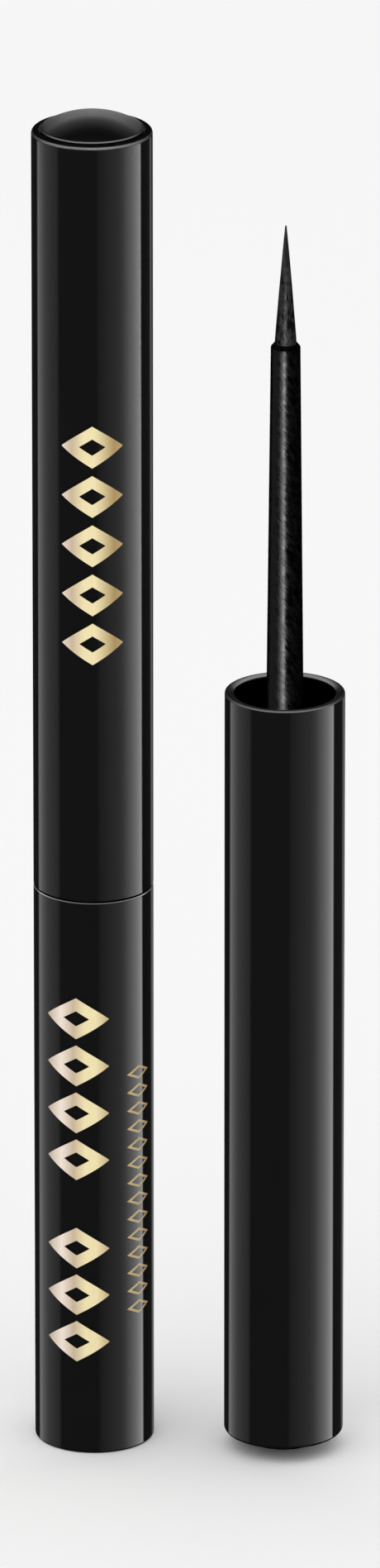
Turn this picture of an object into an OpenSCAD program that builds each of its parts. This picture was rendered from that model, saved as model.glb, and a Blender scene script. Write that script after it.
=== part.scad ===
// Slim liquid eyeliner: a round bottle with a screw cap that carries a stem and a brush.
// It stands closed, and beside it the same cap stands on its closed end with the brush up.
// The origin is the centre of the bottle's base, +Z points up the tube, lengths are in mm.
// Every cap piece is drawn from the cap's mouth, with +Z towards the cap's closed end.

/* [Tube] */
// Outside diameter of the bottle and the cap
tube_d = 11; // [10:0.1:12.5]
// Height of the bottle from its base to the seam with the cap
bottle_h = 54.3; // [50:0.1:70]
// Length of the cap from its mouth to the rim round its end plug
cap_h = 72.4; // [60:0.2:90]
// Rounding of the cap's closed rim
rim_fillet = 0.3; // [0.15:0.05:0.4]
// Rounding of the bottle's foot
foot_fillet = 0.25; // [0.1:0.05:0.4]
// Chamfer of the two outer edges that meet at the seam
seam_chamfer = 0.08; // [0.04:0.02:0.2]
// Gap between the cap's mouth and the bottle when closed
seam_gap = 0.06; // [0.02:0.01:0.2]

/* [Bottle] */
// Wall of the bottle's outer shell
bottle_wall = 0.8; // [0.6:0.05:1]
// Thickness of the plug that closes the foot
base_plug_t = 2.2; // [1.6:0.1:3]
// Wall of the inner reservoir
reservoir_wall = 0.9; // [0.6:0.05:1.1]
// Thickness of the reservoir's floor
reservoir_floor_t = 1.2; // [0.8:0.1:2]
// Slope height inside the reservoir where it narrows to the neck
shoulder_h = 1.6; // [1:0.1:2.4]
// Height of the plain collar that guides the cap
collar_h = 3.5; // [2.5:0.1:4.5]
// Radial gap between the collar and the cap
collar_gap = 0.1; // [0.06:0.01:0.2]
// Wall of the neck
neck_wall = 0.7; // [0.6:0.05:0.8]

/* [Thread] */
// Rise of the thread in one turn
thread_pitch = 2; // [1.6:0.1:2.4]
// Turns of thread
thread_turns = 1.5; // [1.25:0.25:1.75]
// Height of each thread ridge
thread_depth = 0.32; // [0.2:0.02:0.36]
// Width of a ridge at its root
thread_root_w = 0.9; // [0.7:0.05:1]
// Width of a ridge at its crest
thread_crest_w = 0.5; // [0.3:0.05:0.6]
// Radial gap between the crests of the two threads
thread_gap = 0.08; // [0.06:0.01:0.12]

/* [Wiper] */
// Length of the wiper's sleeve below its flange
wiper_l = 9; // [7:0.2:10]
// Wall of the wiper's sleeve
wiper_wall = 0.4; // [0.3:0.05:0.5]
// Thickness of the wiper's flange
wiper_flange_t = 0.6; // [0.4:0.1:0.8]
// Overhang of the wiper's flange on the neck
wiper_flange_w = 0.5; // [0.3:0.05:0.6]
// Thickness of the wiping lip
wiper_lip_t = 0.5; // [0.3:0.1:0.8]
// Height of the cone that leads down to the lip
wiper_cone_h = 2; // [1.2:0.2:3]
// Radial gap between the lip and the stem
wipe_gap = 0.05; // [0.03:0.01:0.1]

/* [Cap] */
// Wall of the cap
cap_wall = 0.9; // [0.8:0.05:1]
// Rounding of the inner edge of the cap's mouth
mouth_fillet = 0.3; // [0.1:0.05:0.4]
// Width of the cap's closed rim, outside the end plug
plug_rim_w = 0.67; // [0.5:0.01:0.7]
// Width of the groove round the end plug
plug_groove = 0.13; // [0.06:0.01:0.2]
// Depth of the groove round the end plug
plug_seat_h = 1; // [0.6:0.1:1.6]
// How far the end plug's side stands above the rim
plug_stand = 0.15; // [0.05:0.05:0.4]
// Rise of the end plug's dome above its side
dome_rise = 1.35; // [0.6:0.05:2]
// Length of the end plug's hollow skirt
plug_skirt_l = 4; // [3:0.2:6]
// Wall of the end plug's skirt
plug_skirt_wall = 0.7; // [0.5:0.1:1]
// Thickness of the end plug under its dome
plug_floor_t = 0.8; // [0.6:0.1:1.2]

/* [Insert] */
// Gap between the collar's top and the insert when closed
insert_gap = 0.4; // [0.2:0.1:1]
// Length of the insert's threaded skirt
insert_skirt_l = 9; // [8:0.2:11]
// Wall of the insert's threaded skirt
insert_wall = 0.56; // [0.4:0.02:0.7]
// Thickness of the web that carries the stem
insert_web_t = 1.6; // [1.2:0.1:2.4]
// Length of the hub above the web
insert_hub_l = 4.5; // [3:0.1:6]
// Wall of the hub
insert_hub_wall = 1.1; // [0.8:0.1:1.4]
// Thickness of the sealing gasket
gasket_t = 0.8; // [0.6:0.1:1.2]
// Gap between the gasket and the wiper when closed
seal_gap = 0.02; // [0.01:0.01:0.05]

/* [Stem] */
// Radial gap between the stem's thick end and the wiper's sleeve
stem_gap = 0.49; // [0.2:0.01:0.6]
// Diameter of the stem's tip as a share of its thick end
stem_tip_share = 0.8; // [0.65:0.01:0.85]
// Free height under the brush's tip inside the reservoir
tip_gap = 6.2; // [4:0.2:12]
// Wall round the brush at the stem's tip
tip_wall = 0.33; // [0.25:0.01:0.4]
// Flat left on that wall inside the bevel
tip_land = 0.04; // [0.02:0.01:0.1]
// Height of the bevel round the stem's tip
tip_bevel_h = 0.36; // [0.2:0.02:0.6]
// Step from the stem to the peg that holds it in the hub
peg_step = 0.325; // [0.2:0.025:0.5]
// Thickness of the stem's flange under the web
stem_flange_t = 0.5; // [0.3:0.1:0.5]
// Overhang of the stem's flange
stem_flange_w = 0.5; // [0.3:0.1:0.6]

/* [Brush] */
// Length of the bristles beyond the stem
brush_l = 11.3; // [9:0.1:13]
// Depth of the tuft's root inside the stem
brush_root_l = 2.4; // [1.5:0.1:4]
// Rings of bristles in the tuft
brush_rings = 7; // [7:1:8]

/* [Standing cap] */
// Distance from the bottle's axis to the standing cap's axis
open_x = 17.5; // [13:0.5:40]
// How far the standing cap is in front of the bottle
open_front = 2.8; // [0:0.1:10]

/* [Hidden] */
$fn = 64;
// Radial gap between pieces that are pressed or glued together
glue_gap = 0.02;
// How far a cut runs past the faces that it cuts
overrun = 0.5;
// How deep a thread ridge is rooted in its wall
thread_sink = 0.15;
// Plain neck below the thread's first ridge
neck_lead = 0.9;
// Plain skirt in the insert below its first ridge
skirt_lead = 1.3;
// Steps in one turn of thread, and steps over which its ends fade
thread_steps = 16;
thread_fade_steps = 3;
// Steps in a quarter round
fillet_steps = 2;
// Steps from the dome's edge to its top
dome_steps = 3;
// Bristles lean in towards a point this many bristle lengths away
gather_share = 1.16;
// Gap left at the bottom of each blind socket
socket_gap = 0.1;

// Radii from the tube inwards: each piece leaves the next one its wall and its gap
tube_r = tube_d / 2;
bottle_bore_r = tube_r - bottle_wall;
reservoir_r = bottle_bore_r - glue_gap;
cap_bore_r = tube_r - cap_wall;
collar_r = cap_bore_r - collar_gap;
insert_r = cap_bore_r - glue_gap;
insert_bore_r = insert_r - insert_wall;
female_crest_r = insert_bore_r - thread_depth;
male_crest_r = female_crest_r - thread_gap;
neck_r = male_crest_r - thread_depth;
neck_bore_r = neck_r - neck_wall;
wiper_r = neck_bore_r - glue_gap;
wiper_bore_r = wiper_r - wiper_wall;
stem_base_r = wiper_bore_r - stem_gap;
stem_tip_r = stem_base_r * stem_tip_share;
stem_flange_r = stem_base_r + stem_flange_w;
peg_r = stem_base_r - peg_step;
hub_bore_r = peg_r + glue_gap;
hub_r = hub_bore_r + insert_hub_wall;
socket_r = stem_tip_r - tip_wall;
brush_r = socket_r - glue_gap;
gasket_r = insert_bore_r - glue_gap;
gasket_bore_r = stem_flange_r + glue_gap;
plug_seat_r = tube_r - plug_rim_w;
plug_r = plug_seat_r - plug_groove;
plug_skirt_r = cap_bore_r - glue_gap;

// Heights above the bottle's base, and heights above the cap's mouth
mouth_z = bottle_h + seam_gap;
reservoir_floor_z = base_plug_t + reservoir_floor_t;
insert_z = collar_h + insert_gap;
web_z = insert_z + insert_skirt_l;
cap_top = cap_h + plug_stand + dome_rise;
stem_reach = mouth_z - reservoir_floor_z - tip_gap - brush_l;
// The wiper's flange lies just under the gasket, and the neck ends under the flange
wiper_top_z = mouth_z + web_z - gasket_t - seal_gap;
neck_top_z = wiper_top_z - wiper_flange_t;
wiper_bottom_z = neck_top_z - wiper_l;
lip_top_z = wiper_bottom_z + wiper_lip_t;
lip_r = stem_r(lip_top_z - mouth_z) + wipe_gap;
// Radius of the sphere whose top forms the dome
dome_r = (pow(plug_r, 2) + pow(dome_rise, 2)) / (2 * dome_rise);

// Radius of the stem at a height above the cap's mouth: straight in the cap, tapered beyond it
function stem_r(z) = stem_tip_r + (stem_base_r - stem_tip_r) * min(1, (z + stem_reach) / stem_reach);

// Points of a quarter round of radius r about a centre, from one angle to another
function arc_points(c, r, from, to, steps) =
    [for (i = [0 : steps]) let (a = from + (to - from) * i / steps) c + r * [cos(a), sin(a)]];

// Ridge of thread: its root is sunk in the wall, and its crest fades in and out at the ends
module thread_ridge(wall_r, root_r, crest_r, z0) {
    last = round(thread_turns * thread_steps);
    function fade(i) = min(1, i / thread_fade_steps, (last - i) / thread_fade_steps);
    function reach(i) = wall_r + (crest_r - wall_r) * fade(i);
    function section(i) =
        let (
            c = reach(i),
            outward = c > root_r,
            r_in = min(c, root_r),
            r_out = max(c, root_r),
            w_in = outward ? thread_root_w : thread_crest_w,
            w_out = outward ? thread_crest_w : thread_root_w,
            z = z0 + thread_pitch * i / thread_steps
        )
        [[r_in, z - w_in / 2], [r_out, z - w_out / 2], [r_out, z + w_out / 2], [r_in, z + w_in / 2]];
    points = [
        for (i = [0 : last])
            let (a = 360 * i / thread_steps)
            for (p = section(i)) [p[0] * cos(a), p[0] * sin(a), p[1]]
    ];
    sides = [
        for (i = [0 : last - 1])
            for (k = [0 : 3])
                let (a = 4 * i + k, b = 4 * i + (k + 1) % 4)
                each [[a, b, b + 4], [a, b + 4, a + 4]]
    ];
    ends = [[0, 3, 2], [0, 2, 1], [4 * last, 4 * last + 1, 4 * last + 2], [4 * last, 4 * last + 2, 4 * last + 3]];
    polyhedron(points = points, faces = concat(sides, ends), convexity = 6);
}

// Bottle

module bottle_shell() {
    color([0.05, 0.05, 0.055])
        rotate_extrude()
            polygon(concat(
                [[bottle_bore_r, 0]],
                arc_points([tube_r - foot_fillet, foot_fillet], foot_fillet, -90, 0, fillet_steps),
                [[tube_r, bottle_h - seam_chamfer], [tube_r - seam_chamfer, bottle_h], [bottle_bore_r, bottle_h]]
            ));
}

module base_plug() {
    color([0.05, 0.05, 0.055])
        cylinder(r = bottle_bore_r - glue_gap, h = base_plug_t);
}

module reservoir() {
    inner_r = reservoir_r - reservoir_wall;
    collar_top = bottle_h + collar_h;
    color([0.85, 0.86, 0.86])
        union() {
            rotate_extrude()
                polygon([
                    [0, base_plug_t],
                    [reservoir_r, base_plug_t],
                    [reservoir_r, bottle_h],
                    [collar_r, bottle_h],
                    [collar_r, collar_top],
                    [neck_r, collar_top],
                    [neck_r, neck_top_z],
                    [neck_bore_r, neck_top_z],
                    [neck_bore_r, bottle_h],
                    [inner_r, bottle_h - shoulder_h],
                    [inner_r, reservoir_floor_z],
                    [0, reservoir_floor_z]
                ]);
            thread_ridge(neck_r, neck_r - thread_sink, male_crest_r, collar_top + neck_lead + thread_root_w / 2);
        }
}

module wiper() {
    flange_r = neck_bore_r + wiper_flange_w;
    color([0.8, 0.82, 0.84])
        rotate_extrude()
            polygon([
                [lip_r, wiper_bottom_z],
                [wiper_r, wiper_bottom_z],
                [wiper_r, neck_top_z],
                [flange_r, neck_top_z],
                [flange_r, wiper_top_z],
                [wiper_bore_r, wiper_top_z],
                [wiper_bore_r, lip_top_z + wiper_cone_h],
                [lip_r, lip_top_z]
            ]);
}

// Cap pieces, from the mouth at zero

module cap_shell_piece() {
    seat_z = cap_h - plug_seat_h;
    color([0.05, 0.05, 0.055])
        rotate_extrude()
            polygon(concat(
                arc_points([cap_bore_r + mouth_fillet, mouth_fillet], mouth_fillet, 180, 270, fillet_steps),
                [[tube_r - seam_chamfer, 0], [tube_r, seam_chamfer]],
                arc_points([tube_r - rim_fillet, cap_h - rim_fillet], rim_fillet, 0, 90, fillet_steps),
                [[plug_seat_r, cap_h], [plug_seat_r, seat_z], [cap_bore_r, seat_z]]
            ));
}

module end_plug_piece() {
    seat_z = cap_h - plug_seat_h;
    skirt_z = seat_z - plug_skirt_l;
    dome_edge = asin(plug_r / dome_r);
    color([0.04, 0.04, 0.045])
        rotate_extrude()
            polygon(concat(
                [[0, cap_h - plug_floor_t], [plug_skirt_r - plug_skirt_wall, cap_h - plug_floor_t]],
                [[plug_skirt_r - plug_skirt_wall, skirt_z], [plug_skirt_r, skirt_z], [plug_skirt_r, seat_z], [plug_r, seat_z]],
                arc_points([0, cap_top - dome_r], dome_r, 90 - dome_edge, 90, dome_steps)
            ));
}

module insert_piece() {
    web_top = web_z + insert_web_t;
    hub_top = web_top + insert_hub_l;
    color([0.07, 0.07, 0.075])
        union() {
            rotate_extrude()
                polygon([
                    [insert_bore_r, insert_z],
                    [insert_r, insert_z],
                    [insert_r, web_top],
                    [hub_r, web_top],
                    [hub_r, hub_top],
                    [hub_bore_r, hub_top],
                    [hub_bore_r, web_z],
                    [insert_bore_r, web_z]
                ]);
            thread_ridge(
                insert_bore_r,
                insert_bore_r + thread_sink,
                female_crest_r,
                insert_z + skirt_lead + thread_root_w / 2
            );
        }
}

module gasket_piece() {
    color([0.88, 0.87, 0.84])
        translate([0, 0, web_z - gasket_t])
            difference() {
                cylinder(r = gasket_r, h = gasket_t);
                translate([0, 0, -overrun])
                    cylinder(r = gasket_bore_r, h = gasket_t + 2 * overrun);
            }
}

module stem_piece() {
    peg_top = web_z + insert_web_t + insert_hub_l;
    socket_top = brush_root_l + socket_gap - stem_reach;
    color([0.06, 0.06, 0.06])
        rotate_extrude()
            polygon([
                [0, peg_top],
                [0, socket_top],
                [socket_r, socket_top],
                [socket_r, -stem_reach],
                [socket_r + tip_land, -stem_reach],
                [stem_tip_r, tip_bevel_h - stem_reach],
                [stem_base_r, 0],
                [stem_base_r, web_z - stem_flange_t],
                [stem_flange_r, web_z - stem_flange_t],
                [stem_flange_r, web_z],
                [peg_r, web_z],
                [peg_r, peg_top]
            ]);
}

// Tuft of tapered three-sided bristles that grow out of one round root and gather to a point.
// Ring k has 6 k points; a bristle stands on each triangle whose edge lies on its outer ring.
module brush_piece() {
    m = brush_rings;
    apex_l = gather_share * brush_l;
    function ring_start(k) = k == 0 ? 0 : 1 + 3 * k * (k - 1);
    function ring_index(k, j) = k == 0 ? 0 : ring_start(k) + j % (6 * k);
    function ring_point(k, j) = k == 0 ? [0, 0] : brush_r * k / m * [cos(60 * j / k), sin(60 * j / k)];
    function bristle_l(share) = (1 - share) / (1 / brush_l - share / apex_l);
    function bristle_tip(p) = let (z = bristle_l(norm(p) / brush_r), q = p * (1 - z / apex_l)) [q[0], q[1], z];
    // Each cell is [ring, outer place, inner place]
    cells = [for (k = [1 : m]) for (s = [0 : 5]) for (t = [0 : k - 1]) [k, s * k + t, s * (k - 1) + t]];
    lattice = [
        for (k = [0 : m])
            for (j = [0 : max(1, 6 * k) - 1])
                let (p = ring_point(k, j)) [p[0], p[1], 0]
    ];
    tips = [
        for (c = cells)
            bristle_tip((ring_point(c[0], c[1]) + ring_point(c[0], c[1] + 1) + ring_point(c[0] - 1, c[2])) / 3)
    ];
    rim = [for (j = [0 : 6 * m - 1]) let (p = ring_point(m, j)) [p[0], p[1], -brush_root_l]];
    first_tip = len(lattice);
    first_rim = first_tip + len(tips);
    bristles = [
        for (i = [0 : len(cells) - 1])
            let (
                c = cells[i],
                a = ring_index(c[0], c[1]),
                b = ring_index(c[0], c[1] + 1),
                d = ring_index(c[0] - 1, c[2]),
                e = first_tip + i
            )
            each [[b, a, e], [d, b, e], [a, d, e]]
    ];
    gaps = [
        for (k = [2 : m])
            for (s = [0 : 5])
                for (t = [0 : k - 2])
                    [
                        ring_index(k - 1, s * (k - 1) + t),
                        ring_index(k - 1, s * (k - 1) + t + 1),
                        ring_index(k, s * k + t + 1)
                    ]
    ];
    side = [
        for (j = [0 : 6 * m - 1])
            let (
                a = ring_index(m, j),
                b = ring_index(m, j + 1),
                c = first_rim + j,
                d = first_rim + (j + 1) % (6 * m)
            )
            each [[a, b, d], [a, d, c]]
    ];
    foot = [[for (j = [0 : 6 * m - 1]) first_rim + j]];
    color([0.03, 0.03, 0.035])
        translate([0, 0, -stem_reach])
            rotate([180, 0, 0])
                polyhedron(points = concat(lattice, tips, rim), faces = concat(bristles, gaps, side, foot), convexity = 20);
}

// Places of the closed cap and of the cap that stands on its closed end

module closed() {
    translate([0, 0, mouth_z])
        children();
}

module standing() {
    translate([open_x, -open_front, cap_top])
        rotate([180, 0, 0])
            children();
}

module cap_shell() {
    closed() cap_shell_piece();
}

module cap_end_plug() {
    closed() end_plug_piece();
}

module cap_insert() {
    closed() insert_piece();
}

module cap_gasket() {
    closed() gasket_piece();
}

module stem() {
    closed() stem_piece();
}

module brush() {
    closed() brush_piece();
}

module open_cap_shell() {
    standing() cap_shell_piece();
}

module open_end_plug() {
    standing() end_plug_piece();
}

module open_cap_insert() {
    standing() insert_piece();
}

module open_gasket() {
    standing() gasket_piece();
}

module open_stem() {
    standing() stem_piece();
}

module open_brush() {
    standing() brush_piece();
}

bottle_shell();
base_plug();
reservoir();
wiper();
cap_shell();
cap_end_plug();
cap_insert();
cap_gasket();
stem();
brush();
open_cap_shell();
open_end_plug();
open_cap_insert();
open_gasket();
open_stem();
open_brush();
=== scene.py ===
"""A slim liquid eyeliner and its loose cap with the brush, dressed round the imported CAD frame.

Every piece is drawn in metres in the frame's own axes: the origin is the centre of the bottle's
base and +Z runs up the tube. Cap pieces are drawn once from the cap's mouth, with +Z towards its
closed end, and copied to the closed cap and to the cap that stands on its closed end.
"""
import math
import random

import bpy
from bpy.props import FloatProperty, FloatVectorProperty, IntProperty, PointerProperty
from mathutils import Color, Matrix, Vector


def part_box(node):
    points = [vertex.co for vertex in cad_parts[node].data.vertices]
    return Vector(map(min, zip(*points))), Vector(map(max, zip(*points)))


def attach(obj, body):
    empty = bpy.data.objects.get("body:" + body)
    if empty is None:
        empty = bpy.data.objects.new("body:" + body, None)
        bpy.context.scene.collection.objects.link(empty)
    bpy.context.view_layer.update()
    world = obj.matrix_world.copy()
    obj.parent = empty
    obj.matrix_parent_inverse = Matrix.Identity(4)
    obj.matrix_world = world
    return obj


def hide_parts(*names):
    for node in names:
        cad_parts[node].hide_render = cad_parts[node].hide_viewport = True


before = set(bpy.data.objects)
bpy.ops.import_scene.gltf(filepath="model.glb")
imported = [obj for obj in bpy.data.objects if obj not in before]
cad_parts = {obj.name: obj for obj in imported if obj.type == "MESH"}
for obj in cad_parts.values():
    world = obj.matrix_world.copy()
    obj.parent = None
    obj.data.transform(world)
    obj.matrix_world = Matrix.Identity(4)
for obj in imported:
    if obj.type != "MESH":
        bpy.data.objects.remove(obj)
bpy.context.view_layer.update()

bl_info = {
    "name": "Eyeliner dresser",
    "version": (1, 0, 0),
    "blender": (4, 5, 0),
    "location": "View3D > Sidebar > Eyeliner",
    "description": "Builds the visual pieces of a liquid eyeliner round its CAD frame",
    "category": "Mesh",
}

MM = 0.001

# Places that the CAD frame gives
(TUBE_R, _, BOTTLE_H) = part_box("bottle_shell")[1]
(FOOT_R, _, FOOT_T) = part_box("base_plug")[1]
(RESERVOIR_R, _, NECK_TOP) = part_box("reservoir")[1]
(WIPER_FLANGE_R, _, WIPER_TOP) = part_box("wiper")[1]
WIPER_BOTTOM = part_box("wiper")[0].z
MOUTH_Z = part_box("cap_shell")[0].z
CAP_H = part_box("cap_shell")[1].z - MOUTH_Z
PLUG_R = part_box("cap_end_plug")[1].x
PLUG_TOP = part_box("cap_end_plug")[1].z - MOUTH_Z
PLUG_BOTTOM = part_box("cap_end_plug")[0].z - MOUTH_Z
INSERT_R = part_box("cap_insert")[1].x
INSERT_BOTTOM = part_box("cap_insert")[0].z - MOUTH_Z
HUB_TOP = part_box("cap_insert")[1].z - MOUTH_Z
GASKET_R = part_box("cap_gasket")[1].x
GASKET_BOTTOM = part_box("cap_gasket")[0].z - MOUTH_Z
WEB_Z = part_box("cap_gasket")[1].z - MOUTH_Z
STEM_FLANGE_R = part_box("stem")[1].x
STEM_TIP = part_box("stem")[0].z - MOUTH_Z
TUFT_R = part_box("brush")[1].x
TUFT_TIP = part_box("brush")[0].z - MOUTH_Z
(OPEN_LOW, OPEN_HIGH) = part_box("open_cap_shell")
(OPEN_X, OPEN_Y, _) = (OPEN_LOW + OPEN_HIGH) / 2
OPEN_MOUTH = OPEN_HIGH.z

# Walls and gaps of the CAD model that its boxes don't give
GLUE_GAP = 0.02 * MM
BOTTLE_BORE_R = FOOT_R + GLUE_GAP
CAP_BORE_R = INSERT_R + GLUE_GAP
COLLAR_R = CAP_BORE_R - 0.1 * MM
COLLAR_H = 3.5 * MM
RESERVOIR_WALL = 0.9 * MM
RESERVOIR_FLOOR_T = 1.2 * MM
SHOULDER_H = 1.6 * MM
PLUG_SEAT_R = TUBE_R - 0.67 * MM
PLUG_SEAT_H = 1.0 * MM
PLUG_STAND = 0.15 * MM
PLUG_SKIRT_WALL = 0.7 * MM
PLUG_FLOOR_T = 0.8 * MM
INSERT_BORE_R = INSERT_R - 0.56 * MM
INSERT_WEB_T = 1.6 * MM
THREAD_DEPTH = 0.32 * MM
THREAD_GAP = 0.08 * MM
THREAD_PITCH = 2.0 * MM
THREAD_TURNS = 1.5
THREAD_ROOT_W = 0.9 * MM
THREAD_CREST_W = 0.5 * MM
THREAD_SINK = 0.15 * MM
NECK_LEAD = 0.9 * MM
SKIRT_LEAD = 1.3 * MM
NECK_R = INSERT_BORE_R - 2 * THREAD_DEPTH - THREAD_GAP
NECK_BORE_R = NECK_R - 0.7 * MM
WIPER_R = NECK_BORE_R - GLUE_GAP
WIPER_BORE_R = WIPER_R - 0.4 * MM
WIPER_FLANGE_T = 0.6 * MM
WIPER_LIP_T = 0.5 * MM
WIPER_CONE_H = 2.0 * MM
LIP_GAP = 0.05 * MM
STEM_BASE_R = STEM_FLANGE_R - 0.5 * MM
STEM_FLANGE_T = 0.5 * MM
STEM_TIP_R = STEM_BASE_R * 0.8
PEG_R = STEM_BASE_R - 0.325 * MM
HUB_BORE_R = PEG_R + GLUE_GAP
HUB_R = HUB_BORE_R + 1.1 * MM
SOCKET_R = TUFT_R + GLUE_GAP
SOCKET_L = 2.5 * MM
TIP_LAND = 0.04 * MM
TIP_BEVEL_H = 0.36 * MM

# Steps round a turned piece, in its small roundings and in a turn of its thread
TURN_STEPS = 192
ROUND_STEPS = 6
THREAD_STEPS = 72
# Share of a thread's height over which each of its ends sinks into the wall
THREAD_FADE = 0.3
# Angle in degrees above which an edge stays sharp: on turned pieces, threads and fibres
SHARP_TURNED = 38
SHARP_THREAD = 50
SHARP_FIBRE = 80
# Straight wall kept beside a rounding, so that the long wall stays true
HOLD = 0.12 * MM
# Vertices nearer than this are one
WELD = 1e-8

# The cap's place when it is closed, and when it stands on its closed end
CLOSED_PLACE = Matrix.Translation((0, 0, MOUTH_Z))
OPEN_PLACE = Matrix.Translation((OPEN_X, OPEN_Y, OPEN_MOUTH)) @ Matrix.Rotation(math.pi, 4, "X")


def display(red, green, blue):
    """A display colour, each part out of 255, as the linear colour that shaders use."""
    return Color((red / 255, green / 255, blue / 255)).from_srgb_to_scene_linear()


def size_prop(name, description, default, low, high):
    """A length property, given in millimetres."""
    return FloatProperty(
        name=name, description=description, default=default * MM, min=low * MM, max=high * MM,
        precision=6, subtype="DISTANCE", unit="LENGTH",
    )


def angle_prop(name, description, default, low, high):
    """An angle property, given in degrees."""
    (default, low, high) = (math.radians(angle) for angle in (default, low, high))
    return FloatProperty(
        name=name, description=description, default=default, min=low, max=high, subtype="ANGLE")


def colour_prop(name, description, default):
    """A linear colour property."""
    return FloatVectorProperty(
        name=name, description=description, default=default, min=0, max=1, size=3, subtype="COLOR",
    )


class LinerSizes(bpy.types.PropertyGroup):
    """Small sizes of the visual pieces; the large ones come from the CAD frame."""
    rim_round: size_prop("Rim rounding", "Rounding of the cap's closed rim", 0.38, 0.1, 0.6)
    seam_round: size_prop("Seam rounding", "Rounding of the bottle's edge", 0.17, 0.03, 0.3)
    lip_round: size_prop("Lip rounding", "Rounding of the cap's outer edge", 0.17, 0.03, 0.3)
    mouth_round: size_prop("Mouth rounding", "Rounding inside the cap's mouth", 0.12, 0.05, 0.3)
    lip_slope: angle_prop("Lip slope", "Inward slope of the cap's lip at its outer edge", 5, 0, 10)
    lip_fall: angle_prop("Lip fall", "Inward slope of the cap's lip at its bore", 17, 12, 30)
    foot_round: size_prop("Foot rounding", "Rounding of the bottle's foot", 0.25, 0.1, 0.4)
    dome_round: size_prop("Dome edge rounding", "Rounding of the end plug's edge", 0.24, 0.05, 0.3)
    edge_round: size_prop("Edge rounding", "Rounding of small moulded edges", 0.06, 0.02, 0.1)
    foil_t: size_prop("Foil thickness", "Thickness of the hot-stamped foil", 0.012, 0.005, 0.03)
    fibre_count: IntProperty(
        name="Fibres", description="Fibres in each tuft", default=640, min=100, max=1500)


class LinerColours(bpy.types.PropertyGroup):
    """Colours of the finishes."""
    gloss_black: colour_prop("Gloss black", "Moulded tubes", (0.0042, 0.0042, 0.0045))
    satin_black: colour_prop("Satin black", "Inserts inside the caps", (0.012, 0.012, 0.013))
    stem_black: colour_prop("Stem black", "Applicator stems", (0.0016, 0.0016, 0.0017))
    fibre_black: colour_prop("Fibre black", "Brush fibres", (0.012, 0.012, 0.013))
    milky: colour_prop("Natural plastic", "Neck and reservoir", (0.72, 0.735, 0.725))
    rubber: colour_prop("Wiper rubber", "Wiper", (0.62, 0.645, 0.66))
    foam: colour_prop("Gasket foam", "Gaskets", (0.78, 0.765, 0.73))
    # The foil's shade, highlight and cream are painted shade, a painted highlight and a painted
    # glow across the tube; its gold is its own colour
    foil_painted_shade: colour_prop("Foil shade", "Foil where it turns away", display(150, 128, 84))
    foil_painted_highlight: colour_prop("Foil highlight", "Palest foil", display(255, 240, 226))
    foil_painted_glow: colour_prop("Foil cream", "Yellow glow of the foil", display(255, 240, 188))
    foil_gold: colour_prop("Foil gold", "Foil at its deepest gold", display(178, 148, 92))
    studio: colour_prop("Studio", "Floor and daylight of the studio", (0.94, 0.94, 0.94))


# Mesh helpers

def deselect():
    """Leaves nothing selected, in object mode."""
    if bpy.context.object and bpy.context.object.mode != "OBJECT":
        bpy.ops.object.mode_set(mode="OBJECT")
    bpy.ops.object.select_all(action="DESELECT")


def pick(*pieces):
    """Selects these pieces alone and makes the first one active."""
    deselect()
    for piece in pieces:
        piece.select_set(True)
    bpy.context.view_layer.objects.active = pieces[0]


def name_new(name):
    """Names the object that an operator has just added, and its mesh."""
    piece = bpy.context.object
    piece.name = name
    piece.data.name = name
    return piece


def rounding(centre_r, centre_z, radius, start, end, steps=ROUND_STEPS):
    """Points of an arc in a turned profile, between two angles in degrees."""
    turns = [math.radians(start + (end - start) * i / steps) for i in range(steps + 1)]
    return [(centre_r + radius * math.cos(t), centre_z + radius * math.sin(t)) for t in turns]


def draw_line(points):
    """Adds a mesh whose one vertex is extruded along the points (r, z), and stays in edit mode."""
    deselect()
    (r, z) = points[0]
    bpy.ops.mesh.primitive_plane_add(size=MM, location=(r, 0, z))
    bpy.ops.object.transform_apply(location=True, rotation=False, scale=False)
    bpy.ops.object.mode_set(mode="EDIT")
    bpy.ops.mesh.merge(type="CENTER")
    for (last, point) in zip(points, points[1:]):
        step = (point[0] - last[0], 0, point[1] - last[1])
        bpy.ops.mesh.extrude_region_move(TRANSFORM_OT_translate={"value": step})


def close_shape():
    """Merges doubles, turns any faces outwards and leaves edit mode."""
    bpy.ops.mesh.select_all(action="SELECT")
    bpy.ops.mesh.remove_doubles(threshold=WELD)
    bpy.ops.mesh.normals_make_consistent(inside=False)
    bpy.ops.object.mode_set(mode="OBJECT")


def smooth(piece, angle=SHARP_TURNED):
    """Smooth shading, with sharp edges where faces meet at more than the angle."""
    pick(piece)
    bpy.ops.object.shade_smooth_by_angle(angle=math.radians(angle))
    return piece


def turned(name, profile, steps=TURN_STEPS):
    """A piece turned on the Z axis from a profile that is closed or ends on the axis."""
    draw_line(profile)
    bpy.ops.mesh.select_all(action="SELECT")
    bpy.ops.mesh.spin(steps=steps, angle=2 * math.pi, center=(0, 0, 0), axis=(0, 0, 1))
    close_shape()
    return smooth(name_new(name))


def fade_ends(piece, wall_r, low_z, high_z):
    """Sinks both ends of a helix into its wall."""
    for vertex in piece.data.vertices:
        share = (vertex.co.z - low_z) / (high_z - low_z)
        keep = min(1, max(0, min(share, 1 - share)) / THREAD_FADE)
        radius = vertex.co.xy.length
        vertex.co.xy *= (wall_r + (radius - wall_r) * keep) / radius


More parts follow.
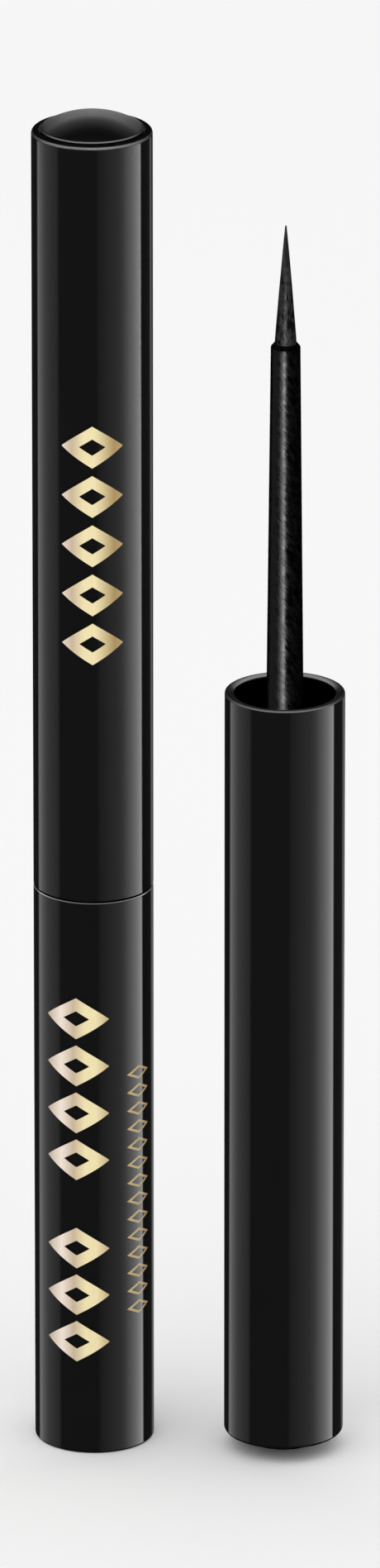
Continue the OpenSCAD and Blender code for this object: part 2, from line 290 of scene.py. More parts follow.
def thread_ridge(name, wall_r, out, low_z):
    """A thread's ridge, which a Screw modifier sweeps: out is 1 on a neck and -1 in a bore."""
    (root_r, crest_r) = (wall_r - out * THREAD_SINK, wall_r + out * THREAD_DEPTH)
    flank_h = (THREAD_ROOT_W - THREAD_CREST_W) / 2
    draw_line([
        (root_r, low_z), (crest_r, low_z + flank_h), (crest_r, low_z + flank_h + THREAD_CREST_W),
        (root_r, low_z + THREAD_ROOT_W), (root_r, low_z),
    ])
    close_shape()
    ridge = name_new(name)
    rise = THREAD_PITCH * THREAD_TURNS
    screw = ridge.modifiers.new("Thread", "SCREW")
    screw.angle = 2 * math.pi * THREAD_TURNS
    screw.screw_offset = rise
    screw.steps = screw.render_steps = round(THREAD_STEPS * THREAD_TURNS)
    screw.use_merge_vertices = False
    pick(ridge)
    bpy.ops.object.modifier_apply(modifier=screw.name)
    bpy.ops.object.mode_set(mode="EDIT")
    bpy.ops.mesh.select_all(action="DESELECT")
    bpy.ops.mesh.select_mode(type="EDGE")
    bpy.ops.mesh.select_non_manifold(
        extend=False, use_boundary=True, use_wire=False, use_multi_face=False,
        use_non_contiguous=False, use_verts=False)
    bpy.ops.mesh.edge_face_add()
    bpy.ops.mesh.select_mode(type="VERT")
    close_shape()
    fade_ends(ridge, wall_r, low_z, low_z + rise + THREAD_ROOT_W)
    return smooth(ridge, SHARP_THREAD)


def joined(name, *pieces):
    """One piece made of several."""
    pick(*pieces)
    bpy.ops.object.join()
    return name_new(name)


def copy_of(pattern, place):
    """A copy of a piece with its own mesh, which is moved to its place."""
    piece = pattern.copy()
    piece.data = pattern.data.copy()
    piece.data.transform(place)
    bpy.context.scene.collection.objects.link(piece)
    return piece


def dress(piece, body, material, nodes=()):
    """Gives a finished piece its material and body, keeps it out of gloss and hides the CAD nodes
    it stands for.
    """
    piece.data.materials.clear()
    piece.data.materials.append(material)
    piece.visible_glossy = False
    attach(piece, body)
    if nodes:
        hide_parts(*nodes)


def dress_pair(pattern, names, nodes, material, bodies=("cap", "open_applicator")):
    """Copies a pattern to the closed cap and to the standing one, and dresses both copies."""
    pieces = []
    for (name, node, body, place) in zip(names, nodes, bodies, (CLOSED_PLACE, OPEN_PLACE)):
        piece = copy_of(pattern, place)
        piece.name = name
        piece.data.name = name
        dress(piece, body, material, (node,))
        pieces.append(piece)
    bpy.data.objects.remove(pattern)
    return pieces


# Shader helpers

def arithmetic(operation):
    """An operator on wires and its reflected form, which both add a Math node."""
    def plain(self, other):
        return self.shade.math(operation, self, other)

    def reflected(self, other):
        return self.shade.math(operation, other, self)
    return plain, reflected


class Wire:
    """A socket in a shader, which Python's arithmetic works on."""

    def __init__(self, shade, socket):
        self.shade = shade
        self.socket = socket

    (__add__, __radd__) = arithmetic("ADD")
    (__sub__, __rsub__) = arithmetic("SUBTRACT")
    (__mul__, __rmul__) = arithmetic("MULTIPLY")
    (__truediv__, __rtruediv__) = arithmetic("DIVIDE")


class Shade:
    """The node tree of a material or of the world."""

    def __init__(self, owner):
        owner.use_nodes = True
        self.tree = owner.node_tree
        self.tree.nodes.clear()

    def add(self, kind, settings=None, inputs=None, output=0):
        """Adds a node: its settings first, then the values or wires of its sockets."""
        node = self.tree.nodes.new(kind)
        for (key, value) in (settings or {}).items():
            if key == "stops":
                ramp = node.color_ramp
                for (i, (place, colour)) in enumerate(value):
                    stop = ramp.elements[i] if i < 2 else ramp.elements.new(place)
                    stop.position = place
                    stop.color = (*colour, 1)
            else:
                setattr(node, key, value)
        for (key, value) in (inputs or {}).items():
            if isinstance(value, Wire):
                self.tree.links.new(value.socket, node.inputs[key])
            else:
                node.inputs[key].default_value = value
        return Wire(self, node.outputs[output]) if node.outputs else None

    def place(self):
        """Object coordinates."""
        return self.add("ShaderNodeTexCoord", output="Object")

    def noise(self, scale, detail=3.0, roughness=0.5, along=1.0, where=None):
        """Cloudy noise with so many cells in a metre, and a share of them along the tube."""
        where = self.vector("MULTIPLY", where or self.place(), (1, 1, along))
        return self.add("ShaderNodeTexNoise", {}, {
            "Vector": where, "Scale": scale, "Detail": detail, "Roughness": roughness})

    def math(self, operation, first, second=0.0):
        """A number from one or two others."""
        return self.add("ShaderNodeMath", {"operation": operation}, {0: first, 1: second})

    def vector(self, operation, first, second=(0, 0, 0)):
        """A vector from one or two others."""
        return self.add("ShaderNodeVectorMath", {"operation": operation}, {0: first, 1: second})

    def parts(self, vector):
        """The x, y and z of a vector."""
        apart = self.add("ShaderNodeSeparateXYZ", {}, {0: vector}).socket.node
        return [Wire(self, socket) for socket in apart.outputs]

    def run(self, share, stops):
        """A number from stops, each a place and a value, which may be above 1."""
        peak = max(value for (_, value) in stops)
        return peak * self.ramp(share, [(place, (value / peak,) * 3) for (place, value) in stops])

    def mix(self, share, first, second):
        """A colour between two others; a Mix node's colours are its inputs 6 and 7 and output 2."""
        return self.add("ShaderNodeMix", {"data_type": "RGBA"}, {0: share, 6: first, 7: second}, 2)

    def tones(self, share, colour, first, second):
        """A colour between two tones of another, each given as a share of it."""
        return self.mix(share, rgba(colour, first), rgba(colour, second))

    def ramp(self, share, stops):
        """A colour from stops, each a place and a linear colour."""
        return self.add("ShaderNodeValToRGB", {"stops": stops}, {0: share})

    def bump(self, height, strength, distance):
        """A normal from a height; the distance is how high a height of 1 stands, in metres."""
        return self.add("ShaderNodeBump", {}, {
            "Strength": strength, "Distance": distance, "Height": height})

    def surface(self, **sockets):
        """A Principled surface; constants are set on its own sockets."""
        named = {key.replace("_", " "): value for (key, value) in sockets.items()}
        self.end(self.add("ShaderNodeBsdfPrincipled", {}, named))

    def end(self, shader):
        """Wires a shader to the material's output."""
        self.add("ShaderNodeOutputMaterial", {}, {"Surface": shader})


def rgba(colour, share=1.0):
    """A colour made lighter or darker by a share, with full alpha."""
    return (*[part * share for part in colour], 1)


def finish(make):
    """Makes a finish's material once and hands the same one out afterwards."""
    def made_once():
        name = make.__name__ + "_finish"
        made = bpy.data.materials.get(name)
        if not made:
            made = bpy.data.materials.new(name)
            make(Shade(made), bpy.context.scene.liner_colours)
        return made
    return made_once


@finish
def gloss_black(shade, colours):
    """High-gloss black moulded plastic: faint cloudiness in its colour, polish and skin."""
    shade.surface(
        Base_Color=shade.tones(shade.noise(160, 4), colours.gloss_black, 0.75, 1.3),
        Roughness=0.03 + 0.035 * shade.noise(900, 2),
        Normal=shade.bump(shade.noise(1500, 2), 0.05, 0.004 * MM),
        IOR=1.5,
    )


@finish
def painted_shade_bore(shade, colours):
    """The dull bore inside the cap's mouth, darkened as painted shade to 5 to 15 per cent of the
    tubes' black and without gloss, with moulding marks along the draw.
    """
    draw = shade.noise(2600, along=0.08)
    shade.surface(
        Base_Color=shade.tones(shade.noise(240), colours.gloss_black, 0.05, 0.15),
        Roughness=0.7 + 0.2 * draw,
        Specular_IOR_Level=0.0,
        Normal=shade.bump(draw, 0.1, 0.02 * MM),
    )


@finish
def satin_black(shade, colours):
    """Satin black plastic of the inserts, with moulding marks along the draw."""
    draw = shade.noise(2200, along=0.1)
    shade.surface(
        Base_Color=shade.tones(shade.noise(500), colours.satin_black, 0.7, 1.3),
        Roughness=0.3 + 0.2 * draw,
        Normal=shade.bump(draw, 0.15, 0.02 * MM),
    )


@finish
def stem_black(shade, colours):
    """Satin black stem with a spark-eroded grain and fine slanting drag marks."""
    grain = shade.noise(5200, 5, 0.7, along=0.35)
    slant = shade.add(
        "ShaderNodeVectorRotate", {"rotation_type": "Y_AXIS"},
        {"Vector": shade.place(), "Angle": 0.6})
    marks = shade.noise(2400, 4, 0.65, along=0.3, where=slant)
    drag = shade.run(marks, ((0.38, 0.0), (0.62, 1.0)))
    shade.surface(
        Base_Color=shade.tones(drag, colours.stem_black, 0.2, 2.0),
        Roughness=0.18 + 0.18 * drag,
        Normal=shade.bump(0.5 * grain + drag, 0.35, 0.03 * MM),
    )


@finish
def fibre_black(shade, colours):
    """Black synthetic fibres: long streaks along the tuft, in clumps of uneven tone and shine."""
    streak = shade.noise(3600, 3, 0.6, along=0.08)
    clump = shade.run(shade.noise(2100, 3, 0.65, along=0.6), ((0.4, 0.0), (0.6, 1.0)))
    tone = shade.run(0.6 * streak + 0.4 * clump, ((0.3, 0.0), (0.75, 1.0)))
    shade.surface(
        Base_Color=shade.tones(tone, colours.fibre_black, 0.1, 1.7),
        Roughness=0.3 + 0.3 * clump,
        Specular_IOR_Level=0.3,
        Normal=shade.bump(streak + clump, 0.5, 0.04 * MM),
    )


@finish
def milky_plastic(shade, colours):
    """Natural milky plastic of the neck and reservoir."""
    skin = shade.noise(3000, 2)
    shade.surface(
        Base_Color=shade.tones(shade.noise(260, 4, along=0.4), colours.milky, 0.88, 1.05),
        Roughness=0.26 + 0.14 * skin,
        Normal=shade.bump(skin, 0.1, 0.01 * MM),
    )


@finish
def wiper_rubber(shade, colours):
    """Soft natural elastomer of the wiper."""
    skin = shade.noise(5000)
    shade.surface(
        Base_Color=shade.tones(shade.noise(420, 4), colours.rubber, 0.86, 1.06),
        Roughness=0.5 + 0.15 * skin,
        Normal=shade.bump(skin, 0.2, 0.01 * MM),
    )


@finish
def gasket_foam(shade, colours):
    """Closed-cell foam: small round cells in its colour and relief."""
    cells = shade.add("ShaderNodeTexVoronoi", {}, {"Vector": shade.place(), "Scale": 6000.0})
    cloud = shade.noise(700)
    shade.surface(
        Base_Color=shade.tones(cloud * cells, colours.foam, 1.04, 0.8),
        Roughness=0.75 + 0.15 * cloud,
        Normal=shade.bump(cells, 0.4, 0.03 * MM),
    )


@finish
def gold_foil(shade, colours):
    """Hot-stamped foil whose colour changes across the tube as painted shade, highlight and glow,
    with a fine brushed grain.
    """
    # shadow, pale and cream are painted shade, a painted highlight and a painted glow; gold is the
    # foil's own deep colour
    (shadow, pale, cream, gold) = (Vector(colour) for colour in (
        colours.foil_painted_shade, colours.foil_painted_highlight, colours.foil_painted_glow, colours.foil_gold))
    (across, _, _) = shade.parts(shade.place())
    # Painted highlight and shade across the tube: dark at both edges, palest left of the middle,
    # cream in the middle
    painted_sheen = shade.ramp(0.5 + across * (0.5 / TUBE_R), [
        (0.08, shadow * 0.65), (0.15, shadow.lerp(pale, 0.55)), (0.23, pale),
        (0.33, gold.lerp(pale, 0.4)), (0.43, cream), (0.52, cream), (0.68, gold),
        (0.80, gold.lerp(cream, 0.2)), (0.96, shadow.lerp(gold, 0.5)),
    ])
    grain = shade.noise(4200, along=0.2)
    shade.surface(
        Base_Color=shade.mix(0.1 * grain, painted_sheen, rgba(gold, 0.8)),
        Roughness=0.3 + 0.15 * grain,
        Metallic=0.04 + 0.08 * grain,
        Normal=shade.bump(grain, 0.08, 0.005 * MM),
    )


# Operators, one for each group of pieces

class LINER_OT_bottle(bpy.types.Operator):
    """Build the bottle's glossy shell and its moulded foot"""
    bl_idname = "liner.bottle"
    bl_label = "Build bottle"

    # The foot's flat ring, the shallow dish inside it, and the gate's mark in the middle
    ring_w = 0.9 * MM
    dish_h = 0.35 * MM
    mark_r = 0.5 * MM
    mark_h = 0.1 * MM

    def execute(self, context):
        sizes = context.scene.liner_sizes
        (foot, seam, edge) = (sizes.foot_round, sizes.seam_round, sizes.edge_round)
        shell = turned("bottle_body", [
            (BOTTLE_BORE_R, 0),
            *rounding(TUBE_R - foot, foot, foot, 270, 360),
            (TUBE_R, foot + HOLD), (TUBE_R, BOTTLE_H - seam - HOLD),
            *rounding(TUBE_R - seam, BOTTLE_H - seam, seam, 0, 90),
            (BOTTLE_BORE_R, BOTTLE_H), (BOTTLE_BORE_R, 0),
        ])
        dress(shell, "bottle", gloss_black(), ("bottle_shell",))

        (dish_r, dish_h) = (FOOT_R - self.ring_w, self.dish_h)
        foot_plug = turned("bottle_foot", [
            (0, dish_h - self.mark_h), (self.mark_r, dish_h - self.mark_h),
            (self.mark_r + edge, dish_h),
            *reversed(rounding(dish_r - 2 * edge, dish_h - 2 * edge, 2 * edge, 0, 90)),
            *rounding(dish_r + edge, edge, edge, 180, 270),
            *rounding(FOOT_R - edge, edge, edge, 270, 360),
            (FOOT_R, FOOT_T), (0, FOOT_T),
        ])
        dress(foot_plug, "bottle", gloss_black(), ("base_plug",))
        return {"FINISHED"}


class LINER_OT_neck(bpy.types.Operator):
    """Build the milky reservoir with its collar and threaded neck, and the wiper in it"""
    bl_idname = "liner.neck"
    bl_label = "Build neck and wiper"

    def execute(self, context):
        # Roundings of the neck and of the soft wiper
        (edge, soft) = (share * context.scene.liner_sizes.edge_round for share in (2, 1.5))
        inner_r = RESERVOIR_R - RESERVOIR_WALL
        floor_z = FOOT_T + RESERVOIR_FLOOR_T
        collar_top = BOTTLE_H + COLLAR_H
        neck = turned("neck_body", [
            (0, FOOT_T), (RESERVOIR_R, FOOT_T), (RESERVOIR_R, BOTTLE_H), (COLLAR_R, BOTTLE_H),
            (COLLAR_R, collar_top - edge - HOLD),
            *rounding(COLLAR_R - edge, collar_top - edge, edge, 0, 90),
            (NECK_R + HOLD, collar_top), (NECK_R, collar_top), (NECK_R, collar_top + HOLD),
            (NECK_R, NECK_TOP - edge - HOLD),
            *rounding(NECK_R - edge, NECK_TOP - edge, edge, 0, 90),
            (NECK_BORE_R, NECK_TOP), (NECK_BORE_R, BOTTLE_H), (inner_r, BOTTLE_H - SHOULDER_H),
            (inner_r, floor_z), (0, floor_z),
        ])
        ridge = thread_ridge("neck_thread", NECK_R, 1, collar_top + NECK_LEAD)
        neck = joined("neck", neck, ridge)
        dress(neck, "bottle", milky_plastic(), ("reservoir",))

        # The lip is as wide as the stem there and the gap beside it
        lip_top = WIPER_BOTTOM + WIPER_LIP_T
        along = min(1, (lip_top - MOUTH_Z - STEM_TIP) / -STEM_TIP)
        lip_r = STEM_TIP_R + (STEM_BASE_R - STEM_TIP_R) * along + LIP_GAP
        flange_z = WIPER_TOP - WIPER_FLANGE_T
        wiper = turned("wiper_sleeve", [
            (lip_r, WIPER_BOTTOM), (WIPER_R, WIPER_BOTTOM), (WIPER_R, flange_z),
            (WIPER_FLANGE_R, flange_z),
            *rounding(WIPER_FLANGE_R - soft, WIPER_TOP - soft, soft, 0, 90),
            *rounding(WIPER_BORE_R + soft, WIPER_TOP - soft, soft, 90, 180),
            (WIPER_BORE_R, lip_top + WIPER_CONE_H), (lip_r, lip_top), (lip_r, WIPER_BOTTOM),
        ])
        dress(wiper, "bottle", wiper_rubber(), ("wiper",))
        return {"FINISHED"}


class LINER_OT_caps(bpy.types.Operator):
    """Build the cap's glossy shell and domed end plug, closed and standing"""
    bl_idname = "liner.caps"
    bl_label = "Build caps"

    # Ledge inside the closed end, on which the end plug seats
    seat_z = CAP_H - PLUG_SEAT_H
    # Steps up the dome, and the share of its arc that is drawn
    dome_steps = 16
    dome_share = 0.97

    def execute(self, context):
        sizes = context.scene.liner_sizes
        shell = self.shell(sizes)
        # The bore is dull and darkened as painted shade, up to a third of the rounding that leads
        # to the lip
        bore_r = CAP_BORE_R + sizes.mouth_round / 3
        bore = {face.index for face in shell.data.polygons
                if face.center.xy.length < bore_r and face.center.z < self.seat_z}
        shells = dress_pair(
            shell, ("cap_body", "open_cap_body"), ("cap_shell", "open_cap_shell"),
            gloss_black())
        for piece in shells:
            piece.data.materials.append(painted_shade_bore())
            for face in piece.data.polygons:
                face.material_index = 1 if face.index in bore else 0
        dress_pair(
            self.plug(sizes), ("end_plug", "open_end_plug_dome"), ("cap_end_plug", "open_end_plug"),
            gloss_black())
        return {"FINISHED"}

    def shell(self, sizes):
        """The cap's tube. The crown of its lip is an arc that falls faster towards the bore."""
        (mouth, lip, rim) = (sizes.mouth_round, sizes.lip_round, sizes.rim_round)
        edge = sizes.edge_round
        (slope, fall) = (math.sin(sizes.lip_slope), math.sin(sizes.lip_fall))
        lip_w = TUBE_R - lip - CAP_BORE_R - mouth
        crown_r = (lip_w - lip * slope + mouth * fall) / (fall - slope)
        crown_x = TUBE_R - lip + (crown_r - lip) * slope
        crown_z = lip + (crown_r - lip) * math.cos(sizes.lip_slope)
        inner_z = crown_z - (crown_r - mouth) * math.cos(sizes.lip_fall)
        outer = 270 - math.degrees(sizes.lip_slope)
        inner = 270 - math.degrees(sizes.lip_fall)
        return turned("cap_pattern", [
            *rounding(CAP_BORE_R + mouth, inner_z, mouth, 180, inner),
            *rounding(crown_x, crown_z, crown_r, inner, outer)[1:],
            *rounding(TUBE_R - lip, lip, lip, outer, 360)[1:],
            (TUBE_R, lip + HOLD), (TUBE_R, CAP_H - rim - HOLD),
            *rounding(TUBE_R - rim, CAP_H - rim, rim, 0, 90),
            *rounding(PLUG_SEAT_R + edge, CAP_H - edge, edge, 90, 180),
            (PLUG_SEAT_R, self.seat_z), (CAP_BORE_R, self.seat_z), (CAP_BORE_R, inner_z + HOLD),
            (CAP_BORE_R, inner_z),
        ])

    def plug(self, sizes):
        """The end plug: a skirt in the tube, a seat on the ledge and a shallow dome over them."""
        edge = sizes.dome_round
        rise = PLUG_TOP - CAP_H - PLUG_STAND
        dome_r = (PLUG_R ** 2 + rise ** 2) / (2 * rise)
        dome_z = PLUG_TOP - dome_r
        edge_z = dome_z + math.sqrt((dome_r - edge) ** 2 - (PLUG_R - edge) ** 2)
        lean = math.degrees(math.asin((PLUG_R - edge) / (dome_r - edge)))
        (skirt_in, floor_z) = (INSERT_R - PLUG_SKIRT_WALL, CAP_H - PLUG_FLOOR_T)
        return turned("plug_pattern", [
            (0, floor_z), (skirt_in, floor_z), (skirt_in, PLUG_BOTTOM), (INSERT_R, PLUG_BOTTOM),
            (INSERT_R, self.seat_z), (PLUG_R, self.seat_z), (PLUG_R, edge_z - HOLD),
            *rounding(PLUG_R - edge, edge_z, edge, 0, 90 - lean),
            *rounding(0, dome_z, dome_r, 90 - lean * self.dome_share, 90, self.dome_steps),
        ])


class LINER_OT_inserts(bpy.types.Operator):
    """Build the threaded insert and the foam gasket inside each cap"""
    bl_idname = "liner.inserts"
    bl_label = "Build inserts"

    # Steps in the washer's roundings
    gasket_steps = 3

    def execute(self, context):
        edge = context.scene.liner_sizes.edge_round
        web_top = WEB_Z + INSERT_WEB_T
        # Rounding of the bore's entry
        lead = 3 * edge
        insert = turned("insert_wall", [
            (INSERT_BORE_R + lead, INSERT_BOTTOM), (INSERT_R, INSERT_BOTTOM), (INSERT_R, web_top),
            (HUB_R, web_top), (HUB_R, HUB_TOP), (HUB_BORE_R, HUB_TOP), (HUB_BORE_R, WEB_Z),
            (INSERT_BORE_R, WEB_Z), (INSERT_BORE_R, INSERT_BOTTOM + lead + HOLD),
            *rounding(INSERT_BORE_R + lead, INSERT_BOTTOM + lead, lead, 180, 270),
        ])
        ridge = thread_ridge("insert_thread", INSERT_BORE_R, -1, INSERT_BOTTOM + SKIRT_LEAD)
        dress_pair(
            joined("insert_pattern", insert, ridge), ("insert", "open_insert"),
            ("cap_insert", "open_cap_insert"), satin_black())

        (hole_r, low_z) = (STEM_FLANGE_R + GLUE_GAP, GASKET_BOTTOM + edge)
        gasket = turned("gasket_pattern", [
            *rounding(hole_r + edge, low_z, edge, 180, 270, self.gasket_steps),
            *rounding(GASKET_R - edge, low_z, edge, 270, 360, self.gasket_steps),
            (GASKET_R, WEB_Z), (hole_r, WEB_Z), (hole_r, low_z),
        ])
        dress_pair(
            gasket, ("gasket", "open_gasket_ring"), ("cap_gasket", "open_gasket"), gasket_foam(),
            ("cap_seal", "open_applicator"))
        return {"FINISHED"}


class LINER_OT_applicators(bpy.types.Operator):
    """Build the stem and its pointed tuft, in the closed cap and in the standing one"""
    bl_idname = "liner.applicators"
    bl_label = "Build applicators"

    # Steps round the stem, and the height and share of its taper of the collar above its tip
    stem_steps = 96
    collar_h = 4 * HOLD
    collar_taper = 0.01
    # Seed of the tuft's draws
    seed = 11
    # A fibre: its sides, and the length and narrowing of each part of it
    fibre_sides = 5
    fibre_parts = ((0.25, 0.95), (0.25, 0.85), (0.3, 0.7), (0.2, 0.35))
    # Its radius as a share of one that would just fill the tuft's root, and how that varies
    fibre_crowd = 1.4
    fibre_thickness = (0.85, 1.1)
    # How deep in the stem the fibres start, how far their tips stand apart, the share of the tuft
    # by which the middle ones may fall short, and how much more the outermost may
    root_depth = 0.1 * MM
    tips_r = 0.06 * MM
    short_middle = 0.027
    short_outer = 0.09
    # The core: its depth in the tuft as a share of a fibre's radius, its steps round, and its rows,
    # of which the last ones aren't drawn
    core_depth = 0.12
    core_steps = 48
    core_rows = 24
    core_drawn = 22
    # The cone of fibres swells: it narrows by this power of the share of its length, up to the
    # share where a straight point takes over
    swell = 1.12
    swell_end = 0.95

    def execute(self, context):
        dress_pair(
            self.stem(), ("stem_rod", "open_stem_rod"), ("stem", "open_stem"),
            stem_black())
        dress_pair(
            self.tuft(context.scene.liner_sizes.fibre_count), ("tuft", "open_tuft"),
            ("brush", "open_brush"), fibre_black())
        return {"FINISHED"}

    def stem(self):
        """A tapered rod with a peg and a flange above, and a socket for the tuft in its tip."""
        flange_z = WEB_Z - STEM_FLANGE_T
        (socket_z, bevel_z) = (STEM_TIP + SOCKET_L, STEM_TIP + TIP_BEVEL_H)
        collar_r = STEM_TIP_R + (STEM_BASE_R - STEM_TIP_R) * self.collar_taper
        return turned("stem_pattern", [
            (0, HUB_TOP), (0, socket_z), (SOCKET_R, socket_z), (SOCKET_R, STEM_TIP),
            (SOCKET_R + TIP_LAND, STEM_TIP), (STEM_TIP_R - TIP_LAND / 2, bevel_z - TIP_LAND),
            (STEM_TIP_R, bevel_z + TIP_LAND), (collar_r, bevel_z + self.collar_h),
            (STEM_BASE_R, 0), (STEM_BASE_R, flange_z), (STEM_FLANGE_R, flange_z),
            (STEM_FLANGE_R, WEB_Z), (PEG_R, WEB_Z), (PEG_R, HUB_TOP), (0, HUB_TOP),
        ], self.stem_steps)

    def fibre(self):
        """One straight fibre, 1 in length and radius, which tapers upwards."""
        deselect()
        bpy.ops.mesh.primitive_circle_add(vertices=self.fibre_sides, radius=1, fill_type="NGON")
        bpy.ops.object.mode_set(mode="EDIT")
        bpy.ops.mesh.select_all(action="SELECT")
        for (rise, taper) in self.fibre_parts:
            bpy.ops.mesh.extrude_region_move(TRANSFORM_OT_translate={"value": (0, 0, rise)})
            bpy.ops.transform.resize(value=(taper, taper, 1))
        close_shape()
        return name_new("fibre")

    def tuft(self, count):
        """Fibres that stand on a disc inside the stem and gather to a point, round a core."""
        draws = random.Random(self.seed)
        (root_z, length) = (STEM_TIP + self.root_depth, STEM_TIP - TUFT_TIP)
        fibre_r = self.fibre_crowd * TUFT_R / math.sqrt(count)
        golden_turn = math.pi * (3 - math.sqrt(5))
        fibre = self.fibre()
        strands = []
        for i in range(count):
            (share, turn) = (math.sqrt((i + 0.5) / count), i * golden_turn)
            spot = Vector((math.cos(turn), math.sin(turn), 0)) * share
            root = spot * (TUFT_R - fibre_r) + Vector((0, 0, root_z))
            short = draws.random() * (self.short_middle + self.short_outer * share)
            tip = spot * self.tips_r + Vector((0, 0, STEM_TIP - length * (1 - short)))
            line = tip - root
            aim = line.to_track_quat("Z", "Y").to_matrix().to_4x4()
            thick = fibre_r * draws.uniform(*self.fibre_thickness)
            grow = Matrix.Diagonal((thick, thick, line.length, 1))
            strands.append(copy_of(fibre, Matrix.Translation(root) @ aim @ grow))
        bpy.data.objects.remove(fibre)

        core_r = TUFT_R - self.core_depth * fibre_r
        rows = [i / self.core_rows for i in range(self.core_drawn + 1)]
        core = turned("tuft_core", [
            (0, root_z), *[(core_r * (1 - row), STEM_TIP - length * row) for row in rows],
            (0, STEM_TIP - length * rows[-1]),
        ], self.core_steps)
        tuft = joined("tuft_pattern", core, *strands)
        for vertex in tuft.data.vertices:
            share = min(self.swell_end, max(0, (STEM_TIP - vertex.co.z) / length))
            vertex.co.xy *= (1 - share ** self.swell) / (1 - share)
        return smooth(tuft, SHARP_FIBRE)


class LINER_OT_foil(bpy.types.Operator):
    """Build the plain gold lozenges that are hot-stamped on the cap and the bottle"""
    bl_idname = "liner.foil"
    bl_label = "Build foil marks"

    # Each row: its piece, its body and its turn from the front in degrees, then in millimetres a
    # lozenge's width, height and stroke, the pitch, and the first place and count of each run
    rows = (
        ("cap_foil", "cap", 0, (6.1, 4.0, 1.02), 4.72, ((MOUTH_Z / MM + 25.1, 5),)),
        ("bottle_foil", "bottle", -16.2, (6.55, 4.0, 1.08), 4.62, ((11.2, 3), (29.16, 4))),
        ("bottle_fine_foil", "bottle", 48.2, (2.9, 1.35, 0.22), 1.78, ((14.0, 14),)),
    )
    # Cuts in each side of a lozenge, so that it can bend round the tube
    side_cuts = 9

    def execute(self, context):
        for (name, body, turn, shape, pitch, runs) in self.rows:
            thick = context.scene.liner_sizes.foil_t
            mark = self.lozenge(*[size * MM for size in shape], thick)
            face = Matrix.Rotation(math.radians(turn), 4, "Z")
            marks = [
                copy_of(mark, Matrix.Translation((0, 0, (first + pitch * i) * MM)) @ face)
                for (first, count) in runs for i in range(count)
            ]
            bpy.data.objects.remove(mark)
            dress(smooth(joined(name, *marks)), body, gold_foil())
        return {"FINISHED"}

    def lozenge(self, across, tall, stroke, thick):
        """A flat four-sided ring in front of the tube, cast on its surface and thickened."""
        deselect()
        bpy.ops.mesh.primitive_circle_add(
            vertices=4, radius=0.5, fill_type="NGON", location=(0, -TUBE_R, 0),
            rotation=(math.pi / 2, 0, 0))
        bpy.ops.transform.resize(value=(across, 1, tall))
        bpy.ops.object.transform_apply(location=True, rotation=True, scale=True)
        bpy.ops.object.mode_set(mode="EDIT")
        bpy.ops.mesh.select_all(action="SELECT")
        bpy.ops.mesh.inset(thickness=stroke)
        bpy.ops.mesh.delete(type="FACE")
        bpy.ops.mesh.select_all(action="SELECT")
        bpy.ops.mesh.subdivide(number_cuts=self.side_cuts)
        close_shape()
        mark = name_new("lozenge")
        wrap = mark.modifiers.new("Wrap", "CAST")
        wrap.cast_type = "CYLINDER"
        (wrap.factor, wrap.radius, wrap.size) = (1, 0, TUBE_R)
        sheet = mark.modifiers.new("Foil", "SOLIDIFY")
        (sheet.thickness, sheet.offset) = (thick, 1)
        pick(mark)
        bpy.ops.object.modifier_apply(modifier=wrap.name)
        bpy.ops.object.modifier_apply(modifier=sheet.name)
        return mark


